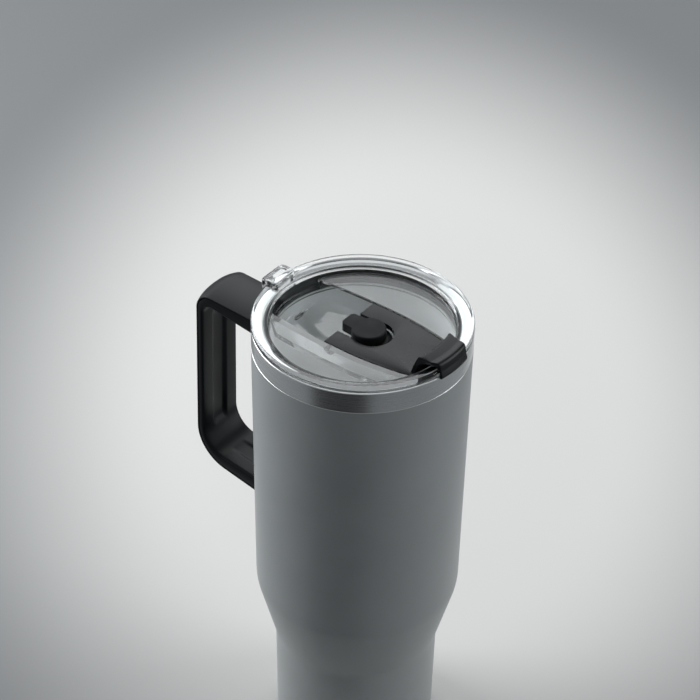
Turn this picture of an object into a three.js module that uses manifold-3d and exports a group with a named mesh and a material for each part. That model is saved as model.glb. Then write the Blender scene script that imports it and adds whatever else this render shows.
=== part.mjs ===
// An insulated steel travel mug: a double-walled body with a bare steel band at its mouth, a two-piece
// side handle on welded brackets, and a clear press-in lid with a hinged flap and a straw-hole plug.
// Millimetres, +Z up. The origin is on the mug's axis at its base. The handle points to -X, and the
// drinking side to +X.
import * as THREE from "three";
import { mergeVertices } from "three/addons/utils/BufferGeometryUtils.js";
import Module from "manifold-3d";

const wasm = await Module();
wasm.setup();

// Heights on the axis.
const LID_TOP = 229; // crown of the lid's rim
const MOUTH_Z = LID_TOP - 3.7; // top edge of the steel mouth
const STEP_Z = 48; // top of the narrow lower part
const SHOULDER_Z = 81.5; // where the wide upper part begins

// Outer radii of the body.
const BASE_RADIUS = 37;
const STEP_RADIUS = 38;
const SHOULDER_RADIUS = 47.3;
const MOUTH_RADIUS = 50;

// Walls and play.
const SHELL_WALL = 1;
const LINER_OFFSET = 3.2; // liner's outer face, in from the body's outer face
const LINER_WALL = 1;
const PLAY = 0.3; // gap between neighbouring pieces

// The bottom.
const PAN_Z = 2.2; // underside of the shell's own bottom
const FOOT_INNER_RADIUS = 35.3;
const COVER_THICKNESS = 0.8;
const SEAL_HOLE_RADIUS = 1.5;
const LINER_FLOOR_Z = 10; // inside floor of the cup
const FLOOR_FILLET = 8;

// The lid, with heights counted down from the crown of its rim.
const LID_RADIUS = 50;
const RIM_INNER_RADIUS = 42.2;
const SKIRT_RADIUS = 44.6;
const PANEL_DROP = 5.5; // top of the two side panels and of the flap
const PANEL_WALL = 2.2;
const TROUGH_DROP = 15; // floor of the trough
const TROUGH_HALF_WIDTH = 18.6; // at its widest
const TROUGH_WIDEST_X = 2;
const FRONT_BOW = 150; // radius of the trough's bowed sides ahead of the widest place
const REAR_BOW = 400; // and behind it
const STRAW_X = 3.5; // centre of the straw hole
const STRAW_HOLE_RADIUS = 6;
const SIP_X = 32.5; // centre of the drinking slot
const SIP_LENGTH = 7;
const SIP_WIDTH = 16;
const VENT_X = -36; // centre of the vent slot
const VENT_LENGTH = 1.8;
const VENT_WIDTH = 6;
const GROOVE_TOP = 4.2; // gasket groove in the skirt
const GROOVE_BOTTOM = 12.6;
const GROOVE_RADIUS = 43.4;
const THUMB_TAB_WIDTH = 16;
const THUMB_TAB_REACH = 52.6;
const THUMB_TAB_RISE = 2.6;

// The flap and its hinge.
const HINGE_X = -4.5;
const HINGE_DROP = 8.6;
const HINGE_BOSS_RADIUS = 3.1;
const PIN_RADIUS = 1.1;
const PIN_HOLE_RADIUS = 1.4;
const PIN_INNER_END = 14; // how far each pin reaches, measured across from the middle
const PIN_OUTER_END = 20;
const FLAP_WALL = 2.4;
const FLAP_SIDE_PLAY = 0.6;
const FLAP_REAR_X = -7.7;
const FLAP_FRONT_RADIUS = 40.4;
const FLAP_HOLE_X = 6;
const FLAP_HOLE_RADIUS = 9.3;
const FORK_HALF_GAP = 8.3;

// The straw-hole plug.
const PLUG_DROP = 3.5;
const PLUG_CAP_RADIUS = 7.9;
const PLUG_CAP_HEIGHT = 4.9;
const PLUG_NECK_X = FLAP_HOLE_X; // the wide neck under the cap fills the flap's hole from below
const PLUG_NECK_RADIUS = 8.9;
const PLUG_NECK_BOTTOM = 14.6;
const PLUG_STEM_RADIUS = 5.6;
const PLUG_STEM_BOTTOM = 20;
const PLUG_TAB_REAR_X = -9;
const PLUG_TAB_HALF_WIDTH = 4.3;

// The handle, in its own upright plane.
const HANDLE_WIDTH = 25;
const GRIP_OUTER_X = -86.2; // edge of the outer cover
const GRIP_INNER_X = -82.7;
const COVER_EDGE = 0.7; // thickness of the cover along its two edges
const COVER_CROWN = 2.1; // how far its middle rises above them
const ARM_ROOT_X = -40; // both arms are drawn to here, then cut back to the body
const GRIP_GROOVE_HALF_WIDTH = 4.1;
const GRIP_GROOVE_DEPTH = 1.4;
const ARM_GROOVE_DEPTH = 0.6;

// Brackets and their screws.
const BRACKET_PAD_WIDTH = 20;
const BRACKET_TAB_WIDTH = 18;
const BRACKET_TAB_END_X = -60.5;
const BRACKET_TAB_THICKNESS = 1;
const BRACKET_PAD_THICKNESS = 1.2;
const SCREW_X = -56;
const SCREW_Y = 5.5;
const SCREW_SHANK_RADIUS = 1.2;
const SCREW_HOLE_RADIUS = 1.55;
const SCREW_HEAD_RADIUS = 2.3;
const SCREW_HEAD_HEIGHT = 1.2;
const SCREW_SEAT_RADIUS = 2.65;

const ROUND_STEPS = 48; // facets round the body and the lid
const FINE_STEPS = 24; // facets round small round pieces

// Shared shapes.

function solidOf(geometry) {
  const bare = geometry.clone();
  bare.deleteAttribute("normal");
  bare.deleteAttribute("uv");
  const merged = mergeVertices(bare, 1e-3);
  return new wasm.Manifold(
    new wasm.Mesh({
      numProp: 3,
      vertProperties: merged.attributes.position.array,
      triVerts: new Uint32Array(merged.index.array),
    }),
  );
}

function geometryOf(solid) {
  const mesh = solid.getMesh();
  const geometry = new THREE.BufferGeometry();
  geometry.setAttribute("position", new THREE.BufferAttribute(mesh.vertProperties, 3));
  geometry.setIndex(new THREE.BufferAttribute(mesh.triVerts, 1));
  const flat = geometry.toNonIndexed();
  flat.computeVertexNormals();
  return flat;
}

// Turns a profile of [radius, height] pairs about +Z.
function turned(profile, steps = ROUND_STEPS) {
  const points = profile.map(([radius, height]) => new THREE.Vector2(radius, height));
  const geometry = new THREE.LatheGeometry(points, steps);
  geometry.rotateX(Math.PI / 2);
  return geometry;
}

function closedRing(profile, steps = ROUND_STEPS) {
  return turned([...profile, profile[0]], steps);
}

// A flat outline in X and Y, raised from one height to another.
function raised(outline, fromZ, toZ, curveSteps = 12) {
  const geometry = new THREE.ExtrudeGeometry(outline, {
    depth: toZ - fromZ,
    bevelEnabled: false,
    curveSegments: curveSteps,
  });
  geometry.translate(0, 0, fromZ);
  return geometry;
}

function block(fromX, toX, fromY, toY, fromZ, toZ) {
  const geometry = new THREE.BoxGeometry(toX - fromX, toY - fromY, toZ - fromZ);
  geometry.translate((fromX + toX) / 2, (fromY + toY) / 2, (fromZ + toZ) / 2);
  return geometry;
}

function uprightRod(radius, fromZ, toZ, x, y, steps = FINE_STEPS) {
  const geometry = new THREE.CylinderGeometry(radius, radius, toZ - fromZ, steps);
  geometry.rotateX(Math.PI / 2);
  geometry.translate(x, y, (fromZ + toZ) / 2);
  return geometry;
}

function crossRod(radius, fromY, toY, x, z, steps = FINE_STEPS) {
  const geometry = new THREE.CylinderGeometry(radius, radius, toY - fromY, steps);
  geometry.translate(x, (fromY + toY) / 2, z);
  return geometry;
}

function joined(...geometries) {
  return geometries.map(solidOf).reduce((sum, next) => sum.add(next));
}

function lidZ(drop) {
  return LID_TOP - drop;
}

// The body.

// A rounded corner at `corner` between the lines from `before` and to `after`, as a few points.
function roundedCorner(before, corner, after, radius, steps = 3) {
  const here = new THREE.Vector2(...corner);
  const back = new THREE.Vector2(...before).sub(here).normalize();
  const ahead = new THREE.Vector2(...after).sub(here).normalize();
  const halfAngle = Math.acos(THREE.MathUtils.clamp(back.dot(ahead), -1, 1)) / 2;
  const reach = radius / Math.tan(halfAngle);
  const start = here.clone().addScaledVector(back, reach);
  const end = here.clone().addScaledVector(ahead, reach);
  const curve = new THREE.QuadraticBezierCurve(start, here, end);
  return curve.getPoints(steps).map((point) => [point.x, point.y]);
}

// The body's side from the base to the mouth, moved in by `offset`.
function bodySide(offset, fromZ, toZ) {
  const base = [BASE_RADIUS - offset, fromZ];
  const step = [STEP_RADIUS - offset, STEP_Z];
  const shoulder = [SHOULDER_RADIUS - offset, SHOULDER_Z];
  const mouth = [MOUTH_RADIUS - offset, toZ];
  return [
    base,
    ...roundedCorner(base, step, shoulder, 22),
    ...roundedCorner(step, shoulder, mouth, 30),
    mouth,
  ];
}

function outerShell() {
  const outside = bodySide(0, 1, MOUTH_Z - 0.4);
  const inside = bodySide(SHELL_WALL, PAN_Z + 2, MOUTH_Z).reverse();
  const panTop = PAN_Z + SHELL_WALL;
  return closedRing([
    [SEAL_HOLE_RADIUS, PAN_Z],
    [FOOT_INNER_RADIUS - 0.7, PAN_Z],
    [FOOT_INNER_RADIUS, PAN_Z - 0.7],
    [FOOT_INNER_RADIUS, 0],
    [BASE_RADIUS - 0.8, 0],
    ...outside,
    [MOUTH_RADIUS - 0.4, MOUTH_Z],
    ...inside,
    [BASE_RADIUS - 2, panTop],
    [SEAL_HOLE_RADIUS, panTop],
  ]);
}

function innerLiner() {
  const outerTop = MOUTH_RADIUS - LINER_OFFSET;
  const innerTop = outerTop - LINER_WALL;
  const lipRadius = MOUTH_RADIUS - SHELL_WALL - PLAY;
  const floorUnder = LINER_FLOOR_Z - LINER_WALL;
  const outerFoot = BASE_RADIUS - LINER_OFFSET;
  const innerFoot = outerFoot - LINER_WALL;
  const outside = bodySide(LINER_OFFSET, floorUnder + FLOOR_FILLET, MOUTH_Z - 4);
  const inside = bodySide(LINER_OFFSET + LINER_WALL, LINER_FLOOR_Z + FLOOR_FILLET, MOUTH_Z - 1.4).reverse();
  const outerCorner = roundedCorner(
    [0, floorUnder],
    [outerFoot, floorUnder],
    [outerFoot, STEP_Z],
    FLOOR_FILLET,
  );
  const innerCorner = roundedCorner(
    [innerFoot, STEP_Z],
    [innerFoot, LINER_FLOOR_Z],
    [0, LINER_FLOOR_Z],
    FLOOR_FILLET - LINER_WALL,
  );
  return turned([
    [0, floorUnder],
    ...outerCorner,
    ...outside.slice(1),
    [outerTop + 0.4, MOUTH_Z - 2],
    [lipRadius - 0.5, MOUTH_Z - 1.1],
    [lipRadius, MOUTH_Z - 0.9],
    [lipRadius, MOUTH_Z - 0.3],
    [lipRadius - 0.3, MOUTH_Z],
    [innerTop + 0.8, MOUTH_Z],
    [innerTop + 0.2, MOUTH_Z - 0.5],
    ...inside.slice(0, -1),
    ...innerCorner,
    [0, LINER_FLOOR_Z],
  ]);
}

function baseCover() {
  const radius = FOOT_INNER_RADIUS - PLAY;
  return turned([
    [0, 0],
    [radius - 0.5, 0],
    [radius, 0.4],
    [radius, COVER_THICKNESS],
    [0, COVER_THICKNESS],
  ]);
}

function vacuumSeal() {
  const shank = SEAL_HOLE_RADIUS - PLAY;
  return turned(
    [
      [0, 1.15],
      [2.4, 1.15],
      [3, 1.5],
      [2.6, PAN_Z - PLAY],
      [shank, PAN_Z - PLAY],
      [shank, PAN_Z + 1.3],
      [0, PAN_Z + 1.5],
    ],
    20,
  );
}

function getterPellet() {
  const top = LINER_FLOOR_Z - LINER_WALL - PLAY;
  return uprightRod(7, top - 1.6, top, 14, 0, 24);
}

// The handle.

// One C-shaped line in the handle's plane, from the upper arm's root round the grip to the lower arm's root.
// `corner` holds the two corner radii, `top` and `bottom` the arm heights at the corner and at the root.
function handleLine({ gripX, topZ, topRootZ, topRadius, bottomZ, bottomRootZ, bottomRadius }) {
  const lowerSlope = (bottomRootZ - bottomZ) / (ARM_ROOT_X - (gripX + bottomRadius));
  const topCorner = [gripX, topZ];
  const bottomCorner = [gripX, bottomZ - lowerSlope * bottomRadius];
  const topRoot = [ARM_ROOT_X, topRootZ];
  const bottomRoot = [ARM_ROOT_X, bottomRootZ];
  return [
    topRoot,
    ...arcCorner(topRoot, topCorner, bottomCorner, topRadius),
    ...arcCorner(topCorner, bottomCorner, bottomRoot, bottomRadius),
    bottomRoot,
  ];
}

// The points of a true circular arc that rounds a corner.
function arcCorner(before, corner, after, radius, steps = 6) {
  const here = new THREE.Vector2(...corner);
  const back = new THREE.Vector2(...before).sub(here).normalize();
  const ahead = new THREE.Vector2(...after).sub(here).normalize();
  const halfAngle = Math.acos(THREE.MathUtils.clamp(back.dot(ahead), -1, 1)) / 2;
  const reach = radius / Math.tan(halfAngle);
  const start = here.clone().addScaledVector(back, reach);
  const middle = back.clone().add(ahead).normalize();
  const centre = here.clone().addScaledVector(middle, radius / Math.sin(halfAngle));
  const spoke = start.clone().sub(centre);
  const turn = Math.sign(back.cross(ahead)) * (Math.PI - 2 * halfAngle);
  return Array.from({ length: steps + 1 }, (_, index) => {
    const point = spoke.clone().rotateAround(new THREE.Vector2(), (-turn * index) / steps).add(centre);
    return [point.x, point.y];
  });
}

// The line of the cover's outer edges, moved towards the fingers by `inward`.
function outerHandleLine(inward) {
  return handleLine({
    gripX: GRIP_OUTER_X + inward,
    topZ: lidZ(17.7 + inward),
    topRootZ: lidZ(19.4 + inward),
    topRadius: 8 - inward / 2,
    bottomZ: lidZ(115) + inward,
    bottomRootZ: lidZ(120.1) + inward,
    bottomRadius: 19.5 - inward,
  });
}

// The line of the finger side, moved away from the fingers by `outward`.
function innerHandleLine(outward) {
  return handleLine({
    gripX: GRIP_INNER_X - outward,
    topZ: lidZ(23.4 - outward),
    topRootZ: lidZ(29.2 - outward),
    topRadius: 5 + outward / 2,
    bottomZ: lidZ(108.6) - outward,
    bottomRootZ: lidZ(112.4) - outward,
    bottomRadius: 13.3 + outward / 2,
  });
}

// A band between two handle lines, as wide as the given half width each side of the plane.
function handleBand(outerLine, innerLine, halfWidth, bevel) {
  const corners = [...outerLine, ...innerLine.slice().reverse()];
  const outline = new THREE.Shape(corners.map(([x, z]) => new THREE.Vector2(x, z)));
  const geometry = new THREE.ExtrudeGeometry(outline, {
    depth: 2 * (halfWidth - bevel),
    bevelEnabled: bevel > 0,
    bevelThickness: bevel,
    bevelSize: bevel,
    bevelOffset: -bevel,
    bevelSegments: 2,
  });
  geometry.rotateX(Math.PI / 2);
  geometry.translate(0, halfWidth - bevel, 0);
  return geometry;
}

// Everything inside the body's outer face, let out by the play, for cutting the handle to the body.
function bodyCutter() {
  return solidOf(turned([[0, 0], ...bodySide(-PLAY, 0, MOUTH_Z), [0, MOUTH_Z]]));
}

// `side` is 1 for the upper arm and -1 for the lower one: it says which way the screws go in.
const UPPER_MOUNT = {
  side: 1,
  tabZ: lidZ(23.8),
  padFromZ: lidZ(26.2),
  padToZ: lidZ(21.4),
  seatZ: lidZ(21.7),
};
const LOWER_MOUNT = {
  side: -1,
  tabZ: lidZ(113.5),
  padFromZ: lidZ(115.2),
  padToZ: lidZ(112.3),
  seatZ: lidZ(114.4),
};

function bracketPad(mount, play) {
  const skin = PLAY + BRACKET_PAD_THICKNESS + play;
  const outside = solidOf(turned([[0, 0], ...bodySide(-skin, 0, MOUTH_Z), [0, MOUTH_Z]]));
  const half = BRACKET_PAD_WIDTH / 2 + play;
  const window = solidOf(block(-60, -30, -half, half, mount.padFromZ - play, mount.padToZ + play));
  return outside.intersect(window);
}

function bracketTab(mount, play) {
  const half = BRACKET_TAB_WIDTH / 2 + play;
  const topZ = mount.tabZ + BRACKET_TAB_THICKNESS + play;
  return solidOf(block(BRACKET_TAB_END_X - play, -47, -half, half, mount.tabZ - play, topZ));
}

function screwHoles(mount, radius, fromZ, toZ) {
  return joined(
    uprightRod(radius, fromZ, toZ, SCREW_X, -SCREW_Y, 20),
    uprightRod(radius, fromZ, toZ, SCREW_X, SCREW_Y, 20),
  );
}

function bracket(mount) {
  const holes = screwHoles(mount, SCREW_HOLE_RADIUS, mount.tabZ - 1, mount.tabZ + BRACKET_TAB_THICKNESS + 1);
  return geometryOf(bracketPad(mount, 0).add(bracketTab(mount, 0)).subtract(bodyCutter()).subtract(holes));
}

// The room a bracket and its screws need inside an arm.
function mountRoom(mount) {
  const beyond = mount.side * 3;
  const farZ = mount.tabZ + BRACKET_TAB_THICKNESS / 2 - mount.side * 1.6;
  const seatFrom = Math.min(mount.seatZ, mount.seatZ + beyond);
  const seatTo = Math.max(mount.seatZ, mount.seatZ + beyond);
  const holeFrom = Math.min(farZ, mount.seatZ);
  const holeTo = Math.max(farZ, mount.seatZ);
  return bracketPad(mount, PLAY)
    .add(bracketTab(mount, PLAY))
    .add(screwHoles(mount, SCREW_HOLE_RADIUS, holeFrom, holeTo))
    .add(screwHoles(mount, SCREW_SEAT_RADIUS, seatFrom, seatTo));
}

function screw(mount) {
  const seat = mount.seatZ + mount.side * 0.1;
  const headTop = seat + mount.side * SCREW_HEAD_HEIGHT;
  const tip = mount.tabZ + BRACKET_TAB_THICKNESS / 2 - mount.side * 1.3;
  const profile = [
    [0, tip],
    [SCREW_SHANK_RADIUS, tip],
    [SCREW_SHANK_RADIUS, seat],
    [SCREW_HEAD_RADIUS, seat],
    [SCREW_HEAD_RADIUS, headTop - mount.side * 0.3],
    [SCREW_HEAD_RADIUS - 0.4, headTop],
    [0, headTop],
  ];
  return turned(mount.side > 0 ? profile : profile.reverse(), 20);
}

function handleFrame() {
  const seat = COVER_EDGE + PLAY;
  const band = solidOf(handleBand(outerHandleLine(seat), innerHandleLine(0), HANDLE_WIDTH / 2, 0.8));
  const grooveOuter = innerHandleLine(GRIP_GROOVE_DEPTH);
  const grooveInner = innerHandleLine(-4);
  const groove = solidOf(handleBand(grooveOuter, grooveInner, GRIP_GROOVE_HALF_WIDTH, 0));
  const gripOnly = solidOf(block(-90, -70, -6, 6, lidZ(97), lidZ(33)));
  const armOuter = innerHandleLine(ARM_GROOVE_DEPTH);
  const armGroove = solidOf(handleBand(armOuter, grooveInner, GRIP_GROOVE_HALF_WIDTH, 0));
  const armOnly = solidOf(block(-71, -40, -6, 6, lidZ(116), lidZ(104)));
  return geometryOf(
    band
      .subtract(groove.intersect(gripOnly))
      .subtract(armGroove.intersect(armOnly))
      .subtract(bodyCutter())
      .subtract(mountRoom(UPPER_MOUNT))
      .subtract(mountRoom(LOWER_MOUNT)),
  );
}

// The crowned cover: a lens-shaped section swept along the handle's outer line. The section's first
// coordinate runs across the handle and its second one outwards.
function handleCover() {
  const halfWidth = HANDLE_WIDTH / 2;
  const section = new THREE.Shape();
  section.moveTo(-halfWidth + 0.3, -COVER_EDGE);
  section.lineTo(halfWidth - 0.3, -COVER_EDGE);
  section.lineTo(halfWidth, -COVER_EDGE * 0.6);
  section.lineTo(halfWidth - 0.3, 0);
  section.quadraticCurveTo(0, 2 * COVER_CROWN, -halfWidth + 0.3, 0);
  section.lineTo(-halfWidth, -COVER_EDGE * 0.6);
  const path = new THREE.CurvePath();
  const line = outerHandleLine(0).map(([x, z]) => new THREE.Vector3(x, 0, z));
  for (let index = 1; index < line.length; index += 1) {
    path.add(new THREE.LineCurve3(line[index - 1], line[index]));
  }
  const swept = new THREE.ExtrudeGeometry(section, { steps: 70, curveSegments: 6, extrudePath: path });
  return geometryOf(solidOf(swept).subtract(bodyCutter()));
}

// The lid.

// Half the trough's width at a place along it, less `play`.
function troughHalfWidth(x, play) {
  const along = x - TROUGH_WIDEST_X;
  const bow = along > 0 ? FRONT_BOW : REAR_BOW;
  return TROUGH_HALF_WIDTH - play - along ** 2 / (2 * bow);
}

// A flat outline with the trough's bowed sides.
function bowedOutline(fromX, toX, play) {
  const steps = 14;
  const places = Array.from({ length: steps + 1 }, (_, index) => fromX + ((toX - fromX) * index) / steps);
  const near = places.map((x) => new THREE.Vector2(x, -troughHalfWidth(x, play)));
  const far = places.map((x) => new THREE.Vector2(x, troughHalfWidth(x, play))).reverse();
  return new THREE.Shape([...near, ...far]);
}

function cone(topDrop, topRadius, bottomDrop, bottomRadius) {
  return solidOf(
    turned([
      [0, lidZ(bottomDrop)],
      [bottomRadius, lidZ(bottomDrop)],
      [topRadius, lidZ(topDrop)],
      [0, lidZ(topDrop)],
    ]),
  );
}

// The lid before its trough: rim, upright wall, side panels, skirt and gasket groove in one section.
function lidPlate() {
  const under = PANEL_DROP + PANEL_WALL;
  const profile = [
    [0, under],
    [RIM_INNER_RADIUS, under],
    [RIM_INNER_RADIUS + 0.2, 13.6],
    [SKIRT_RADIUS - 0.4, 13.6],
    [SKIRT_RADIUS, 13],
    [SKIRT_RADIUS, GROOVE_BOTTOM],
    [GROOVE_RADIUS, GROOVE_BOTTOM],
    [GROOVE_RADIUS, GROOVE_TOP],
    [SKIRT_RADIUS, GROOVE_TOP],
    [SKIRT_RADIUS, 3.4],
    [LID_RADIUS - 0.4, 3.4],
    [LID_RADIUS, 3],
    [LID_RADIUS, 1.4],
    [LID_RADIUS - 0.4, 0.5],
    [LID_RADIUS - 1.4, 0],
    [46.5, 0],
    [44.5, 0.5],
    [43, 1.5],
    [RIM_INNER_RADIUS, 2.8],
    [RIM_INNER_RADIUS - 0.2, PANEL_DROP],
    [0, PANEL_DROP],
  ];
  return solidOf(turned(profile.map(([radius, drop]) => [radius, lidZ(drop)])));
}

function roundedSlot(centreX, length, width) {
  const radius = length / 2;
  const reach = width / 2 - radius;
  const slot = new THREE.Shape();
  slot.absarc(centreX, reach, radius, 0, Math.PI, false);
  slot.absarc(centreX, -reach, radius, Math.PI, 2 * Math.PI, false);
  return slot;
}

function thumbTab() {
  const half = THUMB_TAB_WIDTH / 2;
  const rounding = 2;
  const outline = new THREE.Shape();
  outline.moveTo(-44.5, -half);
  outline.lineTo(-44.5, half);
  outline.lineTo(-THUMB_TAB_REACH + rounding, half);
  outline.quadraticCurveTo(-THUMB_TAB_REACH, half, -THUMB_TAB_REACH, half - rounding);
  outline.lineTo(-THUMB_TAB_REACH, -half + rounding);
  outline.quadraticCurveTo(-THUMB_TAB_REACH, -half, -THUMB_TAB_REACH + rounding, -half);
  const tab = solidOf(raised(outline, lidZ(3.4), lidZ(-THUMB_TAB_RISE), 4));
  const pocket = solidOf(block(-50.6, -46.2, -half + 1.8, half - 1.8, lidZ(-1), lidZ(-4)));
  return tab.subtract(pocket);
}

function lidBody() {
  const floorUnder = TROUGH_DROP + PANEL_WALL;
  const tray = solidOf(raised(bowedOutline(-46, 46, -PANEL_WALL), lidZ(floorUnder), lidZ(PANEL_DROP + 0.4)));
  const trayEnds = cone(PANEL_DROP, 43.2, floorUnder, 40.6);
  const hollow = solidOf(raised(bowedOutline(-46, 46, 0), lidZ(TROUGH_DROP), lidZ(-6)));
  const hollowEnds = cone(PANEL_DROP, RIM_INNER_RADIUS - 0.2, TROUGH_DROP, 39).add(
    solidOf(uprightRod(RIM_INNER_RADIUS - 0.2, lidZ(PANEL_DROP + 0.1), lidZ(-7), 0, 0, ROUND_STEPS)),
  );
  const cutFrom = lidZ(floorUnder + 1);
  const cutTo = lidZ(TROUGH_DROP - 1);
  const strawHole = solidOf(uprightRod(STRAW_HOLE_RADIUS, cutFrom, cutTo, STRAW_X, 0));
  const sipSlot = solidOf(raised(roundedSlot(SIP_X, SIP_LENGTH, SIP_WIDTH), cutFrom, cutTo, 8));
  const ventSlot = solidOf(raised(roundedSlot(VENT_X, VENT_LENGTH, VENT_WIDTH), cutFrom, cutTo, 4));
  const pinHoleEnd = PIN_OUTER_END + PLAY;
  const pinHole = solidOf(crossRod(PIN_HOLE_RADIUS, -pinHoleEnd, pinHoleEnd, HINGE_X, lidZ(HINGE_DROP), 20));
  return geometryOf(
    lidPlate()
      .add(thumbTab())
      .add(tray.intersect(trayEnds))
      .subtract(hollow.intersect(hollowEnds))
      .subtract(strawHole)
      .subtract(sipSlot)
      .subtract(ventSlot)
      .subtract(pinHole),
  );
}

function lidGasket() {
  const seat = GROOVE_RADIUS + PLAY;
  const fin = 45.4;
  const root = 44.8;
  const profile = [
    [seat, 12.3],
    [root, 12.3],
    [fin, 11.7],
    [root, 11.1],
    [root, 9],
    [fin, 8.4],
    [root, 7.8],
    [root, 5.8],
    [fin, 5.2],
    [root, 4.6],
    [seat, 4.6],
  ];
  return closedRing(profile.map(([radius, drop]) => [radius, lidZ(drop)]));
}

// The flap, its pins, the seal and the plug.

// The hook that straddles the lid's rim, as a section turned about the axis and trimmed to a wedge.
function hook() {
  const profile = [
    [37.6, FLAP_WALL + PANEL_DROP],
    [39.6, FLAP_WALL + PANEL_DROP],
    [39.8, 3],
    [41.2, 0],
    [43, -1.3],
    [46, -1.5],
    [48.6, -1.4],
    [49.7, -0.4],
    [50.4, 1],
    [50.4, 4],
    [51.6, 4],
    [51.7, 3],
    [51, 1],
    [50.5, -2],
    [49.7, -4],
    [48.6, -4.4],
    [46, -3.5],
    [43.4, -3.9],
    [41.6, -3.9],
    [40.2, -2.6],
    [38.6, 1.6],
    [37.6, PANEL_DROP],
  ];
  const ring = solidOf(closedRing(profile.map(([radius, drop]) => [radius, lidZ(drop)])));
  const wedge = new THREE.Shape();
  wedge.moveTo(30, -12.8);
  wedge.lineTo(56, -8.4);
  wedge.lineTo(56, 8.4);
  wedge.lineTo(30, 12.8);
  return ring.intersect(solidOf(raised(wedge, lidZ(10), lidZ(-8))));
}

function flap() {
  const under = PANEL_DROP + FLAP_WALL;
  const plateEnd = solidOf(uprightRod(FLAP_FRONT_RADIUS, lidZ(under), lidZ(PANEL_DROP), 0, 0, ROUND_STEPS));
  const plate = solidOf(raised(bowedOutline(FLAP_REAR_X, 42, FLAP_SIDE_PLAY), lidZ(under), lidZ(PANEL_DROP)));
  const bossEnd = TROUGH_HALF_WIDTH - FLAP_SIDE_PLAY - 0.2;
  const bossStart = bossEnd - 5;
  const hingeZ = lidZ(HINGE_DROP);
  const bosses = joined(
    crossRod(HINGE_BOSS_RADIUS, bossStart, bossEnd, HINGE_X, hingeZ, 24),
    crossRod(HINGE_BOSS_RADIUS, -bossEnd, -bossStart, HINGE_X, hingeZ, 24),
  );
  const pinHoles = joined(
    crossRod(PIN_HOLE_RADIUS, bossStart + 0.8, bossEnd + 1, HINGE_X, hingeZ, 20),
    crossRod(PIN_HOLE_RADIUS, -bossEnd - 1, -bossStart - 0.8, HINGE_X, hingeZ, 20),
  );
  const plugHole = joined(
    uprightRod(FLAP_HOLE_RADIUS, lidZ(13), lidZ(0), FLAP_HOLE_X, 0),
    block(-12, FLAP_HOLE_X, -FORK_HALF_GAP, FORK_HALF_GAP, lidZ(13), lidZ(0)),
  );
  return geometryOf(
    plate
      .intersect(plateEnd)
      .add(bosses)
      .add(hook())
      .subtract(plugHole)
      .subtract(pinHoles),
  );
}

// `side` is 1 or -1: the pin on the +Y or the -Y side.
function hingePin(side) {
  const fromY = side > 0 ? PIN_INNER_END : -PIN_OUTER_END;
  const toY = side > 0 ? PIN_OUTER_END : -PIN_INNER_END;
  return crossRod(PIN_RADIUS, fromY, toY, HINGE_X, lidZ(HINGE_DROP), 20);
}

function sipSeal() {
  const top = PANEL_DROP + FLAP_WALL + PLAY;
  const pad = roundedSlot(SIP_X, SIP_LENGTH + 3, SIP_WIDTH + 3);
  return raised(pad, lidZ(TROUGH_DROP - PLAY), lidZ(top), 8);
}

function strawPlug() {
  const capBottom = PLUG_DROP + PLUG_CAP_HEIGHT;
  const round = turned(
    [
      [0, PLUG_STEM_BOTTOM],
      [PLUG_STEM_RADIUS - 1, PLUG_STEM_BOTTOM],
      [PLUG_STEM_RADIUS, PLUG_STEM_BOTTOM - 1.5],
      [PLUG_STEM_RADIUS, capBottom],
      [PLUG_CAP_RADIUS - 0.4, capBottom],
      [PLUG_CAP_RADIUS, capBottom - 0.5],
      [PLUG_CAP_RADIUS, PLUG_DROP + 0.5],
      [PLUG_CAP_RADIUS - 0.5, PLUG_DROP],
      [0, PLUG_DROP],
    ].map(([radius, drop]) => [radius, lidZ(drop)]),
    FINE_STEPS,
  );
  round.translate(STRAW_X, 0, 0);
  const half = PLUG_TAB_HALF_WIDTH;
  const corner = 2;
  const outline = new THREE.Shape();
  outline.moveTo(STRAW_X, -half - 1);
  outline.lineTo(STRAW_X, half + 1);
  outline.lineTo(PLUG_TAB_REAR_X + corner, half);
  outline.quadraticCurveTo(PLUG_TAB_REAR_X, half, PLUG_TAB_REAR_X, half - corner);
  outline.lineTo(PLUG_TAB_REAR_X, -half + corner);
  outline.quadraticCurveTo(PLUG_TAB_REAR_X, -half, PLUG_TAB_REAR_X + corner, -half);
  const tab = raised(outline, lidZ(capBottom - 0.5), lidZ(PLUG_DROP), 4);
  const neck = uprightRod(PLUG_NECK_RADIUS, lidZ(PLUG_NECK_BOTTOM), lidZ(capBottom - 0.2), PLUG_NECK_X, 0);
  return geometryOf(solidOf(round).add(solidOf(tab)).add(solidOf(neck)));
}

// The finishes and the whole object.

const PAINT = { color: 0x53575a, roughness: 0.55, metalness: 0.25 };
const BRUSHED_STEEL = { color: 0xb9bbbc, roughness: 0.32, metalness: 1 };
const SCREW_STEEL = { color: 0x8f9193, roughness: 0.3, metalness: 1 };
const GREY_GLASS = { color: 0x6f7478, roughness: 0.6, metalness: 0 };
const HANDLE_PLASTIC = { color: 0x1b1d1f, roughness: 0.5, metalness: 0 };
const COVER_PLASTIC = { color: 0x26292b, roughness: 0.45, metalness: 0 };
const FLAP_PLASTIC = { color: 0x2b2e30, roughness: 0.5, metalness: 0 };
const CLEAR_PLASTIC = { color: 0xe9eeee, roughness: 0.05, metalness: 0, transparent: true, opacity: 0.35 };
const BLACK_SILICONE = { color: 0x17191a, roughness: 0.7, metalness: 0 };

function piece(name, geometry, looks) {
  const mesh = new THREE.Mesh(geometry, new THREE.MeshStandardMaterial(looks));
  mesh.name = name;
  return mesh;
}

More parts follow.
